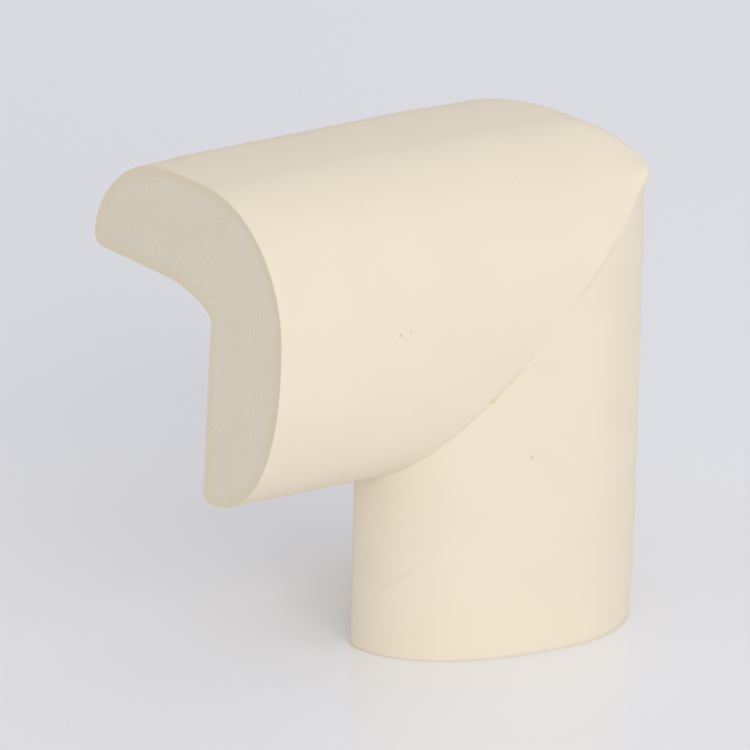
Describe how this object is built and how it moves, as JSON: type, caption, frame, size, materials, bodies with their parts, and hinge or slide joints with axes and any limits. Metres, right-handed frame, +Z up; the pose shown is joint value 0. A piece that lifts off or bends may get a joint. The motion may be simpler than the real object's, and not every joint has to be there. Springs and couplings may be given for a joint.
{
  "type": "furniture corner protector",
  "caption": "Soft foam corner guard: an L-section strip folded square, with a rounded outer corner and a glued mitre seam, to pad the corner of a table or shelf.",
  "frame": {"origin": "on the plane of the upright arm's cut end, below the middle of the part's box", "axes": "+Z up along the upright arm, +X towards the outside of the corner and away from the top arm's cut end, +Y from the front flange's face to the back edge"},
  "size_m": [0.055, 0.0348, 0.0554],
  "materials": {
    "foam": "matte cream closed-cell foam, smooth skin outside, fine open grain on the cut ends"
  },
  "bodies": {
    "root": {"corner_protector": "foam"}
  },
  "joints": []
}
